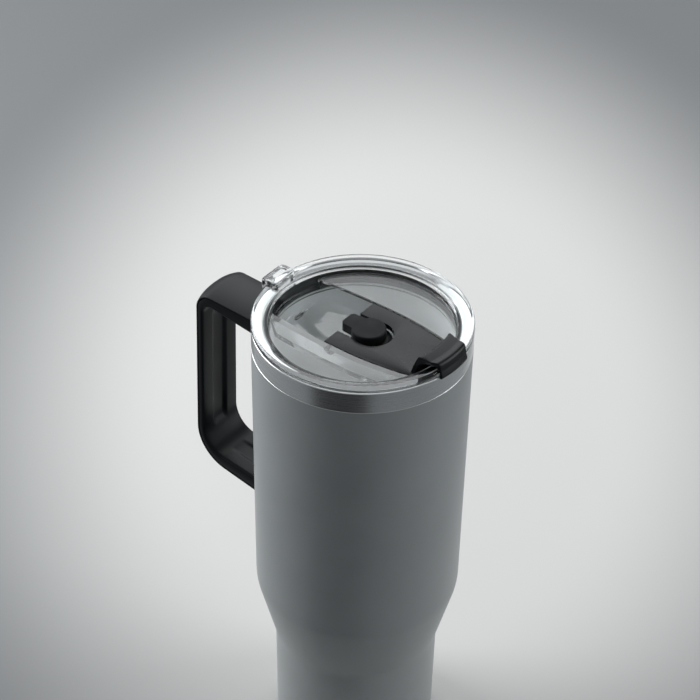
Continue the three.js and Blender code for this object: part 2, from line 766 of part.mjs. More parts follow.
const body = new THREE.Group();
body.add(
  piece("outer_shell", outerShell(), PAINT),
  piece("inner_liner", innerLiner(), BRUSHED_STEEL),
  piece("base_cover", baseCover(), BRUSHED_STEEL),
  piece("vacuum_seal", vacuumSeal(), GREY_GLASS),
  piece("getter_pellet", getterPellet(), SCREW_STEEL),
);

const handle = new THREE.Group();
handle.add(
  piece("handle_frame", handleFrame(), HANDLE_PLASTIC),
  piece("handle_cover", handleCover(), COVER_PLASTIC),
);
for (const [place, mount] of [
  ["upper", UPPER_MOUNT],
  ["lower", LOWER_MOUNT],
]) {
  handle.add(piece(`bracket_${place}`, bracket(mount), BRUSHED_STEEL));
  for (const [hand, side] of [
    ["right", -1],
    ["left", 1],
  ]) {
    const fastener = piece(`screw_${place}_${hand}`, screw(mount), SCREW_STEEL);
    fastener.position.set(SCREW_X, side * SCREW_Y, 0);
    handle.add(fastener);
  }
}

const lid = new THREE.Group();
lid.add(
  piece("lid_body", lidBody(), CLEAR_PLASTIC),
  piece("lid_gasket", lidGasket(), BLACK_SILICONE),
  piece("hinge_pin_left", hingePin(1), FLAP_PLASTIC),
  piece("hinge_pin_right", hingePin(-1), FLAP_PLASTIC),
  piece("flap", flap(), FLAP_PLASTIC),
  piece("sip_seal", sipSeal(), BLACK_SILICONE),
  piece("straw_plug", strawPlug(), BLACK_SILICONE),
);

const group = new THREE.Group();
group.name = "travel_mug";
group.add(body, handle, lid);

export default group;
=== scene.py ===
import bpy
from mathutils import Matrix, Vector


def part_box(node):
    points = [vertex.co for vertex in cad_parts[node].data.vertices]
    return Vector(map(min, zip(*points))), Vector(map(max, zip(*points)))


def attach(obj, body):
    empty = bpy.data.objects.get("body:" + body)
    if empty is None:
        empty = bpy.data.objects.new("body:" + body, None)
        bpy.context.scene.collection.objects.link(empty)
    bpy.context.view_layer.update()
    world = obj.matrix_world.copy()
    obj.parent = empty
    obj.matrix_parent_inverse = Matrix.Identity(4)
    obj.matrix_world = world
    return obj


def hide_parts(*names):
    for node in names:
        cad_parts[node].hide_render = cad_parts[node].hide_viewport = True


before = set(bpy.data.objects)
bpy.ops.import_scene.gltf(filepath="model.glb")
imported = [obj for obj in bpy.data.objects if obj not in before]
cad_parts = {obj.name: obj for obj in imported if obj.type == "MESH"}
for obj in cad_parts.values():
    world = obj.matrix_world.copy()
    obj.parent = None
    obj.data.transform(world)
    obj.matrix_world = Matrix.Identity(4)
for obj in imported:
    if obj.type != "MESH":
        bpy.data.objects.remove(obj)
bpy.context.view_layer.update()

import math

import bmesh
import bpy
from mathutils import Quaternion, Vector

# An insulated steel travel mug with a clear press-in lid, a hinged drinking flap and a side handle.
# Shapes are given in millimetres and turned to metres with mm. Heights on the lid are drops below its crown.

scene = bpy.context.scene
mm = 0.001
tabRise = 2.6
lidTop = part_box("lid_body")[1].z / mm - tabRise  # crown of the lid's rim, under the thumb tab's top
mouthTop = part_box("outer_shell")[1].z / mm
print("frame loaded, mouth at", round(mouthTop, 1), "mm and lid crown at", round(lidTop, 1), "mm")


def lidZ(drop):
    return lidTop - drop


def arcOf(before, corner, after, radius, pieces):
    here = Vector(corner)
    back = Vector(before) - here
    ahead = Vector(after) - here
    cosine = max(-1.0, min(1.0, back.normalized().dot(ahead.normalized())))
    halfAngle = math.acos(cosine) / 2
    reach = min(radius / math.tan(halfAngle), 0.495 * back.length, 0.495 * ahead.length)
    fitted = reach * math.tan(halfAngle)
    middle = (back.normalized() + ahead.normalized()).normalized()
    centre = here + middle * (fitted / math.sin(halfAngle))
    spoke = here + back.normalized() * reach - centre
    lastSpoke = here + ahead.normalized() * reach - centre
    crossed = spoke.x * lastSpoke.y - spoke.y * lastSpoke.x
    turn = math.copysign(math.pi - 2 * halfAngle, crossed)
    arc = []
    for step in range(pieces + 1):
        angle = turn * step / pieces
        c = math.cos(angle)
        s = math.sin(angle)
        arc.append((centre.x + spoke.x * c - spoke.y * s, centre.y + spoke.x * s + spoke.y * c))
    return arc


def rounded(points, pieces=6):
    # a closed line: each point is (a, b) or (a, b, radius), and a radius turns the corner into an arc
    line = []
    for index, point in enumerate(points):
        radius = point[2] if len(point) > 2 else 0
        if radius == 0:
            line.append((point[0], point[1]))
            continue
        before = points[index - 1][:2]
        after = points[(index + 1) % len(points)][:2]
        line.extend(arcOf(before, point[:2], after, radius, pieces))
    return line


def shadeByAngle(obj, degrees):
    obj.data.shade_smooth()
    obj.data.set_sharp_from_angle(angle=math.radians(degrees))


def meshPiece(name, bm, sharpAngle=30):
    bmesh.ops.recalc_face_normals(bm, faces=bm.faces[:])
    mesh = bpy.data.meshes.new(name)
    bm.to_mesh(mesh)
    bm.free()
    obj = bpy.data.objects.new(name, mesh)
    scene.collection.objects.link(obj)
    shadeByAngle(obj, sharpAngle)
    return obj


def bridge(bm, lower, upper):
    # faces between two rings of points, where a ring of one point is a pole
    count = max(len(lower), len(upper))
    if count == 1:
        return
    for index in range(count):
        after = (index + 1) % count
        corners = [lower[index % len(lower)], lower[after % len(lower)]]
        corners += [upper[after % len(upper)], upper[index % len(upper)]]
        bm.faces.new(list(dict.fromkeys(corners)))


def lathe(name, profile, steps=192, centre=(0, 0), sharpAngle=30):
    # a closed profile of (radius, height) turned about an upright line
    bm = bmesh.new()
    rings = []
    for radius, height in profile:
        places = steps if radius > 1e-6 else 1
        ring = []
        for index in range(places):
            angle = 2 * math.pi * index / steps
            x = (centre[0] + radius * math.cos(angle)) * mm
            y = (centre[1] + radius * math.sin(angle)) * mm
            ring.append(bm.verts.new((x, y, height * mm)))
        rings.append(ring)
    for lower, upper in zip(rings, rings[1:] + rings[:1]):
        bridge(bm, lower, upper)
    return meshPiece(name, bm, sharpAngle)


def prism(name, outline, fromLevel, toLevel, axis="Z"):
    # a flat outline raised along Z, or an outline in X and Z drawn out along Y
    bm = bmesh.new()
    ends = []
    for level in (fromLevel, toLevel):
        if axis == "Z":
            ends.append([bm.verts.new((a * mm, b * mm, level * mm)) for a, b in outline])
        else:
            ends.append([bm.verts.new((a * mm, level * mm, b * mm)) for a, b in outline])
    bm.faces.new(ends[0])
    bm.faces.new(ends[1])
    bridge(bm, ends[0], ends[1])
    return meshPiece(name, bm)


def circle(radius, x, y, steps=64):
    spots = []
    for index in range(steps):
        angle = 2 * math.pi * index / steps
        spots.append((x + radius * math.cos(angle), y + radius * math.sin(angle)))
    return spots


def rectangle(fromX, toX, fromY, toY, radius=0, pieces=6):
    corners = [(fromX, fromY, radius), (toX, fromY, radius), (toX, toY, radius), (fromX, toY, radius)]
    return rounded(corners, pieces=pieces)


def applyModifiers(obj):
    bpy.context.view_layer.update()
    graph = bpy.context.evaluated_depsgraph_get()
    mesh = bpy.data.meshes.new_from_object(obj.evaluated_get(graph))
    obj.modifiers.clear()
    obj.data = mesh


def combine(target, tool, operation):
    modifier = target.modifiers.new(operation, "BOOLEAN")
    modifier.operation = operation
    modifier.solver = "MANIFOLD"
    modifier.object = tool
    applyModifiers(target)
    bpy.data.objects.remove(tool)
    return target


def softenEdges(obj, width, segments, fromAngle=35):
    # rounds every edge sharper than fromAngle
    bm = bmesh.new()
    bm.from_mesh(obj.data)
    bmesh.ops.remove_doubles(bm, verts=bm.verts[:], dist=0.01 * mm)
    bmesh.ops.dissolve_degenerate(bm, edges=bm.edges[:], dist=0.005 * mm)
    sharp = [e for e in bm.edges if len(e.link_faces) == 2 and e.calc_face_angle(0) > math.radians(fromAngle)]
    bmesh.ops.bevel(
        bm, geom=sharp, offset=width * mm, segments=segments, profile=0.5, affect="EDGES",
        clamp_overlap=True, loop_slide=True,
    )
    bmesh.ops.recalc_face_normals(bm, faces=bm.faces[:])
    bm.to_mesh(obj.data)
    bm.free()
    shadeByAngle(obj, 30)


# The finishes.

def newMaterial(name):
    made = bpy.data.materials.new(name)
    made.use_nodes = True
    shader = made.node_tree.nodes["Principled BSDF"]
    return made, made.node_tree, shader


def objectNoise(tree, scale, stretch=(1, 1, 1), detail=3.0):
    # noise laid in the piece's own space, scale in waves to the metre
    nodes = tree.nodes
    place = nodes.new("ShaderNodeTexCoord")
    mapping = nodes.new("ShaderNodeMapping")
    mapping.inputs["Scale"].default_value = stretch
    noise = nodes.new("ShaderNodeTexNoise")
    noise.inputs["Scale"].default_value = scale
    noise.inputs["Detail"].default_value = detail
    tree.links.new(place.outputs["Object"], mapping.inputs["Vector"])
    tree.links.new(mapping.outputs["Vector"], noise.inputs["Vector"])
    return noise.outputs[0]


def spread(tree, source, low, high, fromLow=0.3, fromHigh=0.7):
    node = tree.nodes.new("ShaderNodeMapRange")
    node.inputs["From Min"].default_value = fromLow
    node.inputs["From Max"].default_value = fromHigh
    node.inputs["To Min"].default_value = low
    node.inputs["To Max"].default_value = high
    tree.links.new(source, node.inputs["Value"])
    return node.outputs["Result"]


def tinted(tree, source, dark, light):
    ramp = tree.nodes.new("ShaderNodeValToRGB")
    ramp.color_ramp.elements[0].position = 0.3
    ramp.color_ramp.elements[1].position = 0.7
    ramp.color_ramp.elements[0].color = (*dark, 1)
    ramp.color_ramp.elements[1].color = (*light, 1)
    tree.links.new(source, ramp.inputs["Fac"])
    return ramp.outputs["Color"]


def bumped(tree, shader, source, strength, depth):
    bump = tree.nodes.new("ShaderNodeBump")
    bump.inputs["Strength"].default_value = strength
    bump.inputs["Distance"].default_value = depth * mm
    tree.links.new(source, bump.inputs["Height"])
    tree.links.new(bump.outputs["Normal"], shader.inputs["Normal"])


def finishOf(name, look):
    # a moulded, coated or brushed finish: cloudy colour, uneven gloss and a fine raised grain
    made, tree, shader = newMaterial(name)
    shader.inputs["Metallic"].default_value = look.get("metal", 0)
    shader.inputs["Specular IOR Level"].default_value = look.get("specular", 0.5)
    cloud = objectNoise(tree, look["cloudScale"], look.get("cloudStretch", (1, 1, 1)), 4)
    grain = objectNoise(tree, look["grainScale"], look.get("grainStretch", (1, 1, 1)), 3)
    tree.links.new(tinted(tree, cloud, look["dark"], look["light"]), shader.inputs["Base Color"])
    glossSource = grain if look.get("glossFromGrain") else cloud
    gloss = spread(tree, glossSource, look["roughLow"], look["roughHigh"])
    tree.links.new(gloss, shader.inputs["Roughness"])
    bumped(tree, shader, grain, look["bump"], look["bumpDepth"])
    return made


powderCoat = {
    "dark": (0.268, 0.284, 0.288), "light": (0.290, 0.306, 0.310), "metal": 0.1, "specular": 0.6,
    "cloudScale": 35, "grainScale": 3600, "roughLow": 0.38, "roughHigh": 0.45,
    "bump": 0.16, "bumpDepth": 0.05,
}
brushedBand = {
    "dark": (0.68, 0.69, 0.69), "light": (0.76, 0.77, 0.77), "metal": 1, "cloudScale": 1,
    "cloudStretch": (14, 14, 4200), "grainScale": 1, "grainStretch": (22, 22, 7000), "glossFromGrain": True,
    "roughLow": 0.24, "roughHigh": 0.36, "bump": 0.10, "bumpDepth": 0.02,
}
# the liner's colour is raised above real steel's: brushed steel brightened with painted light in the cup
linerSteelPaintedBright = {
    "dark": (0.91, 0.92, 0.92), "light": (0.95, 0.96, 0.96), "metal": 1, "cloudScale": 1,
    "cloudStretch": (30, 30, 900), "grainScale": 1, "grainStretch": (60, 60, 3000), "glossFromGrain": True,
    "roughLow": 0.66, "roughHigh": 0.76, "bump": 0.2, "bumpDepth": 0.03,
}
spunBase = {
    "dark": (0.46, 0.46, 0.46), "light": (0.58, 0.58, 0.58), "metal": 1, "cloudScale": 160,
    "grainScale": 2400, "roughLow": 0.3, "roughHigh": 0.45, "bump": 0.15, "bumpDepth": 0.03,
}
screwSteel = {
    "dark": (0.38, 0.38, 0.39), "light": (0.5, 0.5, 0.51), "metal": 1, "cloudScale": 400,
    "grainScale": 3000, "roughLow": 0.22, "roughHigh": 0.36, "bump": 0.12, "bumpDepth": 0.02,
}
solderGlass = {
    "dark": (0.10, 0.115, 0.125), "light": (0.16, 0.175, 0.185), "cloudScale": 500,
    "grainScale": 2500, "roughLow": 0.35, "roughHigh": 0.6, "bump": 0.3, "bumpDepth": 0.05,
}
handlePlastic = {
    "dark": (0.0030, 0.0037, 0.0044), "light": (0.0044, 0.0053, 0.0062), "specular": 0.16, "cloudScale": 60,
    "grainScale": 2600, "roughLow": 0.32, "roughHigh": 0.42, "bump": 0.2, "bumpDepth": 0.04,
}
coverPlastic = {
    "dark": (0.0095, 0.0110, 0.0122), "light": (0.0125, 0.0142, 0.0155), "specular": 0.25, "cloudScale": 50,
    "grainScale": 2400, "roughLow": 0.40, "roughHigh": 0.50, "bump": 0.25, "bumpDepth": 0.04,
}
flapPlastic = {
    "dark": (0.0040, 0.0048, 0.0055), "light": (0.0055, 0.0064, 0.0072), "specular": 0.175, "cloudScale": 70,
    "grainScale": 3000, "roughLow": 0.24, "roughHigh": 0.31, "bump": 0.2, "bumpDepth": 0.03,
}
blackSilicone = {
    "dark": (0.0050, 0.0058, 0.0066), "light": (0.0075, 0.0085, 0.0095), "specular": 0.14, "cloudScale": 120,
    "grainScale": 3400, "roughLow": 0.48, "roughHigh": 0.62, "bump": 0.3, "bumpDepth": 0.03,
}

paintFinish = finishOf("powderCoatGrey", powderCoat)
bandFinish = finishOf("brushedSteelBand", brushedBand)
linerFinishPaintedBright = finishOf("brushedSteelLinerPaintedBright", linerSteelPaintedBright)
baseFinish = finishOf("spunSteel", spunBase)
screwFinish = finishOf("screwSteel", screwSteel)
solderFinish = finishOf("solderGlass", solderGlass)
handleFinish = finishOf("handlePlasticDark", handlePlastic)
coverFinish = finishOf("coverPlasticSatin", coverPlastic)
flapFinish = finishOf("flapPlasticSatin", flapPlastic)
siliconeFinish = finishOf("blackSilicone", blackSilicone)

clearPlastic = {
    "tint": (0.980, 0.992, 0.992), "ior": 1.49, "roughLow": 0.015, "roughHigh": 0.06,
    "rippleScale": 210, "rippleDepth": 0.012, "rippleBend": 1.5, "rippleStrength": 0.06,
    "cloudScale": 60, "dullest": 0.985, "scuffScale": 900, "shadowTint": (0.99, 1.0, 1.0),
}


def letLampsThrough(tree, shader, tint):
    # light from the lamps passes the clear moulding, so that the cup under it is lit
    paths = tree.nodes.new("ShaderNodeLightPath")
    clear = tree.nodes.new("ShaderNodeBsdfTransparent")
    clear.inputs["Color"].default_value = (*tint, 1)
    mix = tree.nodes.new("ShaderNodeMixShader")
    output = tree.nodes["Material Output"]
    tree.links.new(paths.outputs["Is Shadow Ray"], mix.inputs["Fac"])
    tree.links.new(shader.outputs["BSDF"], mix.inputs[1])
    tree.links.new(clear.outputs["BSDF"], mix.inputs[2])
    tree.links.new(mix.outputs["Shader"], output.inputs["Surface"])


def clearFinishOf(name, look):
    # clear moulding with faint rings from the tool and a little uneven gloss
    made, tree, shader = newMaterial(name)
    shader.inputs["Transmission Weight"].default_value = 1
    shader.inputs["IOR"].default_value = look["ior"]
    cloud = objectNoise(tree, look["cloudScale"], (1, 1, 1), 3)
    scuff = objectNoise(tree, look["scuffScale"], (1, 1, 1), 4)
    bright = look["tint"]
    dull = tuple(channel * look["dullest"] for channel in bright)
    tree.links.new(tinted(tree, cloud, dull, bright), shader.inputs["Base Color"])
    tree.links.new(spread(tree, scuff, look["roughLow"], look["roughHigh"]), shader.inputs["Roughness"])
    place = tree.nodes.new("ShaderNodeTexCoord")
    rings = tree.nodes.new("ShaderNodeTexWave")
    rings.wave_type = "RINGS"
    rings.rings_direction = "Z"
    rings.inputs["Scale"].default_value = look["rippleScale"]
    rings.inputs["Distortion"].default_value = look["rippleBend"]
    tree.links.new(place.outputs["Object"], rings.inputs["Vector"])
    bumped(tree, shader, rings.outputs[1], look["rippleStrength"], look["rippleDepth"])
    letLampsThrough(tree, shader, look["shadowTint"])
    return made


clearFinish = clearFinishOf("clearLidPlastic", clearPlastic)
print("finishes made")


def dress(obj, finish, body, slotName, *nodes):
    # gives a piece its finish, the body it rides on and the plain solids it stands for
    obj.data.materials.clear()
    obj.data.materials.append(finish)
    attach(obj, body)
    if nodes:
        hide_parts(*nodes)


# The double-walled body.

bodyShape = {
    "baseRadius": 37, "stepRadius": 38, "stepHeight": 48, "shoulderRadius": 47.3, "shoulderHeight": 81.5,
    "mouthRadius": 50, "wall": 1, "panHeight": 2.2, "footInner": 35.3, "paintTop": 214.6,
    "paintThickness": 0.12, "linerOffset": 3.2, "floorHeight": 10, "play": 0.3, "portRadius": 1.5,
    "stepBend": 22, "shoulderBend": 30,
    "paintInner": 35.4, "footPaint": 1.5,
}


def sideRadius(height, shape):
    rise = (height - shape["shoulderHeight"]) / (mouthTop - shape["shoulderHeight"])
    return shape["shoulderRadius"] + rise * (shape["mouthRadius"] - shape["shoulderRadius"])


def shellProfile(shape):
    paintEdge = sideRadius(shape["paintTop"], shape)
    bare = shape["paintThickness"]
    wall = shape["wall"]
    pan = shape["panHeight"]
    return rounded([
        (shape["portRadius"], pan),
        (shape["footInner"], pan, 0.7),
        (shape["footInner"], 0, 0.4),
        (shape["baseRadius"], 0, 0.8),
        (shape["stepRadius"], shape["stepHeight"], shape["stepBend"]),
        (shape["shoulderRadius"], shape["shoulderHeight"], shape["shoulderBend"]),
        (paintEdge, shape["paintTop"] - 0.05, 0.06),
        (paintEdge - bare, shape["paintTop"] + 0.05),
        (shape["mouthRadius"] - bare, mouthTop, 0.45),
        (shape["mouthRadius"] - wall, mouthTop, 0.3),
        (shape["shoulderRadius"] - wall, shape["shoulderHeight"], shape["shoulderBend"]),
        (shape["stepRadius"] - wall, shape["stepHeight"], shape["stepBend"]),
        (shape["baseRadius"] - 2, pan + wall, 1),
        (shape["portRadius"], pan + wall),
    ], pieces=8)


bodyShell = lathe("bodyShell", shellProfile(bodyShape), 256, sharpAngle=40)
dress(bodyShell, paintFinish, "mug", "body_paint", "outer_shell")
bodyShell.data.materials.append(bandFinish)

# paint on the outside up to its edge, bare steel above it and inside
for face in bodyShell.data.polygons:
    centre = face.center
    reach = math.hypot(centre.x, centre.y)
    outward = face.normal.x * centre.x + face.normal.y * centre.y
    isOuter = outward > 0.2 * reach or centre.z < bodyShape["footPaint"] * mm
    painted = isOuter and centre.z < bodyShape["paintTop"] * mm and reach > bodyShape["paintInner"] * mm
    face.material_index = 0 if painted else 1


def linerProfile(shape):
    outer = shape["linerOffset"]
    inner = outer + shape["wall"]
    lip = shape["mouthRadius"] - shape["wall"] - shape["play"]
    floor = shape["floorHeight"]
    return rounded([
        (0, floor - 1),
        (shape["baseRadius"] - outer, floor - 1, 8),
        (shape["stepRadius"] - outer, shape["stepHeight"], shape["stepBend"]),
        (shape["shoulderRadius"] - outer, shape["shoulderHeight"], shape["shoulderBend"]),
        (shape["mouthRadius"] - outer, mouthTop - 3, 1.5),
        (lip, mouthTop - 1, 0.4),
        (lip, mouthTop, 0.4),
        (shape["mouthRadius"] - inner, mouthTop, 0.7),
        (shape["shoulderRadius"] - inner, shape["shoulderHeight"], shape["shoulderBend"]),
        (shape["stepRadius"] - inner, shape["stepHeight"], shape["stepBend"]),
        (shape["baseRadius"] - inner, floor, 7),
        (0, floor),
    ], pieces=8)


innerCup = lathe("innerCup", linerProfile(bodyShape), 224, sharpAngle=40)
dress(innerCup, linerFinishPaintedBright, "mug", "brushed_steel", "inner_liner")

baseDisc = {"radius": 35, "thickness": 0.8, "ringRadius": 29, "ringDepth": 0.25}


def baseProfile(disc):
    edge = disc["ringRadius"]
    depth = disc["ringDepth"]
    return rounded([
        (0, depth),
        (edge - 1.2, depth, 0.5),
        (edge, 0, 0.5),
        (disc["radius"], 0, 0.4),
        (disc["radius"], disc["thickness"], 0.2),
        (0, disc["thickness"]),
    ], pieces=4)


baseCover = lathe("baseCover", baseProfile(baseDisc), 160)
dress(baseCover, baseFinish, "mug", "brushed_steel", "base_cover")
print("body, liner and base made")

# The handle is a grip frame with a crowned cover over its outside.

handleShape = {
    "width": 25, "gripOuter": -86.2, "gripInner": -82.7, "rootX": -40,
    "outerTop": 17.7, "outerTopRoot": 19.4, "outerTopRadius": 8,
    "outerBottom": 115, "outerBottomRoot": 120.1, "outerBottomRadius": 19.5,
    "innerTop": 23.4, "innerTopRoot": 29.2, "innerTopRadius": 5,
    "innerBottom": 108.6, "innerBottomRoot": 112.4, "innerBottomRadius": 13.3,
    "coverEdge": 0.7, "coverCrown": 2.08, "play": 0.3,
    "grooveHalfWidth": 4.1, "gripGroove": 1.4, "armGroove": 0.6,
    "gripGrooveFrom": 30.5, "gripGrooveTo": 99.5, "gripFade": 5,
    "armGrooveFrom": -72.5, "armGrooveFull": -69.5, "armGrooveTop": 101, "armFade": 2,
    "frameCorner": 1.5, "edgeSoft": 0.35,
}


def handleLine(gripX, top, topRoot, topRadius, bottom, bottomRoot, bottomRadius, rootX):
    # the C-shaped line of (x, z), the same number of points whatever its sizes
    slope = (bottomRoot - bottom) / (rootX - (gripX + bottomRadius))
    topCorner = (gripX, lidZ(top))
    bottomCorner = (gripX, lidZ(bottom - slope * bottomRadius))
    topEnd = (rootX, lidZ(topRoot))
    bottomEnd = (rootX, lidZ(bottomRoot))
    upperArc = arcOf(topEnd, topCorner, bottomCorner, topRadius, 16)
    lowerArc = arcOf(topCorner, bottomCorner, bottomEnd, bottomRadius, 20)
    stretches = [(topEnd, upperArc[0], 12), (upperArc[-1], lowerArc[0], 26), (lowerArc[-1], bottomEnd, 14)]
    line = []
    for (start, end, count), arc in zip(stretches, (upperArc, lowerArc, [])):
        for step in range(count):
            share = step / count
            line.append((start[0] + (end[0] - start[0]) * share, start[1] + (end[1] - start[1]) * share))
        line.extend(arc[:-1])
    line.append(bottomEnd)
    return line


def outerLine(shape, inward):
    return handleLine(
        shape["gripOuter"] + inward, shape["outerTop"] + inward, shape["outerTopRoot"] + inward,
        shape["outerTopRadius"] - inward / 2, shape["outerBottom"] - inward,
        shape["outerBottomRoot"] - inward, shape["outerBottomRadius"] - inward, shape["rootX"],
    )


def innerLine(shape):
    return handleLine(
        shape["gripInner"], shape["innerTop"], shape["innerTopRoot"], shape["innerTopRadius"],
        shape["innerBottom"], shape["innerBottomRoot"], shape["innerBottomRadius"], shape["rootX"],
    )


def bandAlong(name, starts, ends, sections):
    # a closed band: at each station the section's (y, share) runs from the start line to the end line
    bm = bmesh.new()
    rings = []
    for start, end, section in zip(starts, ends, sections):
        first = Vector(start)
        toEnd = Vector(end) - first
        length = toEnd.length
        ring = []
        for y, outwards in section(length):
            spot = first + toEnd.normalized() * outwards
            ring.append(bm.verts.new((spot.x * mm, y * mm, spot.y * mm)))
        rings.append(ring)
    for one, two in zip(rings, rings[1:]):
        bridge(bm, one, two)
    bm.faces.new(rings[0])
    bm.faces.new(rings[-1])
    return meshPiece(name, bm, 35)


def smoothStep(value, low, high):
    share = max(0.0, min(1.0, (value - low) / (high - low)))
    return share * share * (3 - 2 * share)


def grooveDepth(point, shape):
    # deep down the grip, shallow along the lower arm, fading out at the corners
    x, z = point
    fromTop = smoothStep(lidZ(shape["gripGrooveFrom"]) - z, 0, shape["gripFade"])
    fromBottom = smoothStep(z - lidZ(shape["gripGrooveTo"]), 0, shape["gripFade"])
    onGrip = fromTop * fromBottom
    alongArm = smoothStep(x, shape["armGrooveFrom"], shape["armGrooveFull"])
    onArm = alongArm * smoothStep(lidZ(shape["armGrooveTop"]) - z, 0, shape["armFade"])
    return max(shape["gripGroove"] * onGrip, shape["armGroove"] * onArm)


def mirrored(right):
    # a section's right half and its middle, completed by the left half
    return right + [(-y, outwards) for y, outwards in right[1:-1]][::-1]


def frameSection(shape, depth):
    half = shape["width"] / 2
    groove = shape["grooveHalfWidth"]
    soft = shape["edgeSoft"]

    def section(length):
        corner = min(shape["frameCorner"], length * 0.4)
        right = [
            (0.0, depth), (groove - 1.5, depth), (groove - 0.7, depth * 0.93), (groove, depth * 0.5),
            (groove + 0.7, depth * 0.07), (groove + 1.5, 0.0), (half - corner - 2, 0.0),
        ]
        for step in range(7):
            angle = math.radians(90 * step / 6)
            right.append((half - corner + corner * math.sin(angle), corner - corner * math.cos(angle)))
        right += [(half, length - soft), (half - 0.1, length - 0.1), (half - soft, length)]
        right += [(half - 4, length), (0.0, length)]
        return mirrored(right)
    return section


def coverSection(shape):
    half = shape["width"] / 2
    edge = shape["coverEdge"]
    crown = shape["coverCrown"]
    soft = shape["edgeSoft"]

    def section(length):
        right = [(0.0, 0.0), (half - 3, 0.0), (half - soft, 0.0), (half - 0.1, 0.1), (half, soft)]
        for step in range(13):
            share = math.sin(math.radians(90 * (1 - step / 12)))
            y = (half - 0.02) * share
            right.append((y, edge + 0.02 + crown * (1 - share ** 2.4)))
        return mirrored(right)
    return section


def bodyCutter(shape, play):
    # the body's outside and some play, taken out of what is fitted to it
    return lathe("cutter", rounded([
        (0, 0),
        (shape["baseRadius"] + play, 0),
        (shape["stepRadius"] + play, shape["stepHeight"], shape["stepBend"]),
        (shape["shoulderRadius"] + play, shape["shoulderHeight"], shape["shoulderBend"]),
        (shape["mouthRadius"] + play, mouthTop),
        (0, mouthTop),
    ], pieces=8), 256)


seat = handleShape["coverEdge"] + handleShape["play"]
fingerSide = innerLine(handleShape)
frameOutside = outerLine(handleShape, seat)
frameSections = [frameSection(handleShape, grooveDepth(point, handleShape)) for point in fingerSide]
handleFrame = bandAlong("handleFrame", fingerSide, frameOutside, frameSections)
combine(handleFrame, bodyCutter(bodyShape, handleShape["play"]), "DIFFERENCE")
shadeByAngle(handleFrame, 35)
dress(handleFrame, handleFinish, "mug", "handle_plastic", "handle_frame")

coverInside = outerLine(handleShape, handleShape["coverEdge"])
coverOutside = outerLine(handleShape, 0)
coverSections = [coverSection(handleShape)] * len(coverInside)
handleCover = bandAlong("handleCover", coverInside, coverOutside, coverSections)
combine(handleCover, bodyCutter(bodyShape, handleShape["play"]), "DIFFERENCE")
shadeByAngle(handleCover, 35)
dress(handleCover, coverFinish, "mug", "cover_plastic", "handle_cover")
print("handle made")

# The clear lid.

lidShape = {
    "radius": 50, "rimInner": 42.2, "skirt": 44.6, "panelDrop": 5.5, "panelWall": 2.2, "troughDrop": 15,
    "troughHalfWidth": 18.6, "widestX": 2, "frontBow": 150, "rearBow": 400, "strawX": 3.5, "strawRadius": 6,
    "hingeX": -4.5, "hingeDrop": 8.6, "pinBore": 1.15, "pinBoreEnd": 20.3,
    "sipX": 32.5, "sipLength": 7, "sipWidth": 16, "ventX": -36, "ventLength": 1.8, "ventWidth": 6,
    "skirtBottom": 13.6, "grooveRadius": 43.4, "grooveTop": 4.2, "grooveBottom": 12.6, "rimUnder": 3.4,
    "rimCrown": 46.4, "rimInside": 2.6, "endWallFoot": 39, "trayFoot": 40.6, "trayTop": 43.2,
    "troughReach": 46, "cutBottom": 19, "cutTop": 14, "edge": 0.14,
}
tabShape = {
    "reach": 52.6, "root": 43.5, "width": 16, "rise": tabRise, "corner": 2.6, "soft": 1.5,
    "pocketOuter": 50.6, "pocketInner": 46.8, "pocketMargin": 2.4, "pocketCorner": 1.85, "pocketFloor": -1.9,
}


def dropped(points):
    return [(point[0], lidZ(point[1]), *point[2:]) for point in points]


def lidPlateProfile(shape):
    rim = shape["rimInner"]
    skirt = shape["skirt"]
    panel = shape["panelDrop"]
    groove = shape["grooveRadius"]
    return rounded(dropped([
        (0, panel + shape["panelWall"]),
        (rim, panel + shape["panelWall"], 0.5),
        (rim + 0.2, shape["skirtBottom"], 0.5),
        (skirt, shape["skirtBottom"], 0.7),
        (skirt, shape["grooveBottom"]),
        (groove, shape["grooveBottom"]),
        (groove, shape["grooveTop"]),
        (skirt, shape["grooveTop"]),
        (skirt, shape["rimUnder"], 0.3),
        (shape["radius"], shape["rimUnder"], 0.7),
        (shape["radius"], 0, 1.5),
        (shape["rimCrown"], 0, 4),
        (rim, shape["rimInside"], 2),
        (rim - 0.2, panel, 0.6),
        (0, panel),
    ]), pieces=8)


def troughEdge(x, play):
    along = x - lidShape["widestX"]
    bow = lidShape["frontBow"] if along > 0 else lidShape["rearBow"]
    return lidShape["troughHalfWidth"] - play - along ** 2 / (2 * bow)


def bowedOutline(fromX, toX, play, steps=48):
    places = [fromX + (toX - fromX) * index / steps for index in range(steps + 1)]
    near = [(x, -troughEdge(x, play)) for x in places]
    far = [(x, troughEdge(x, play)) for x in reversed(places)]
    return near + far


def slotOutline(centreX, length, width, pieces=12):
    fromX = centreX - length / 2
    toX = centreX + length / 2
    return rectangle(fromX, toX, -width / 2, width / 2, length / 2 - 0.01, pieces)


def crossRod(radius, fromY, toY, x, drop):
    return prism("rod", circle(radius, x, lidZ(drop), 48), fromY, toY, "Y")


def thumbTab(shape, under):
    half = shape["width"] / 2
    outline = rectangle(-shape["reach"], -shape["root"], -half, half, shape["corner"])
    tab = prism("tab", outline, lidZ(under), lidZ(-shape["rise"]))
    softenEdges(tab, shape["soft"], 6)
    inside = half - shape["pocketMargin"]
    outer = -shape["pocketOuter"]
    inner = -shape["pocketInner"]
    hollow = rectangle(outer, inner, -inside, inside, shape["pocketCorner"])
    pocket = prism("pocket", hollow, lidZ(shape["pocketFloor"]), lidZ(-4))
    softenEdges(pocket, 0.5, 3)
    return combine(tab, pocket, "DIFFERENCE")


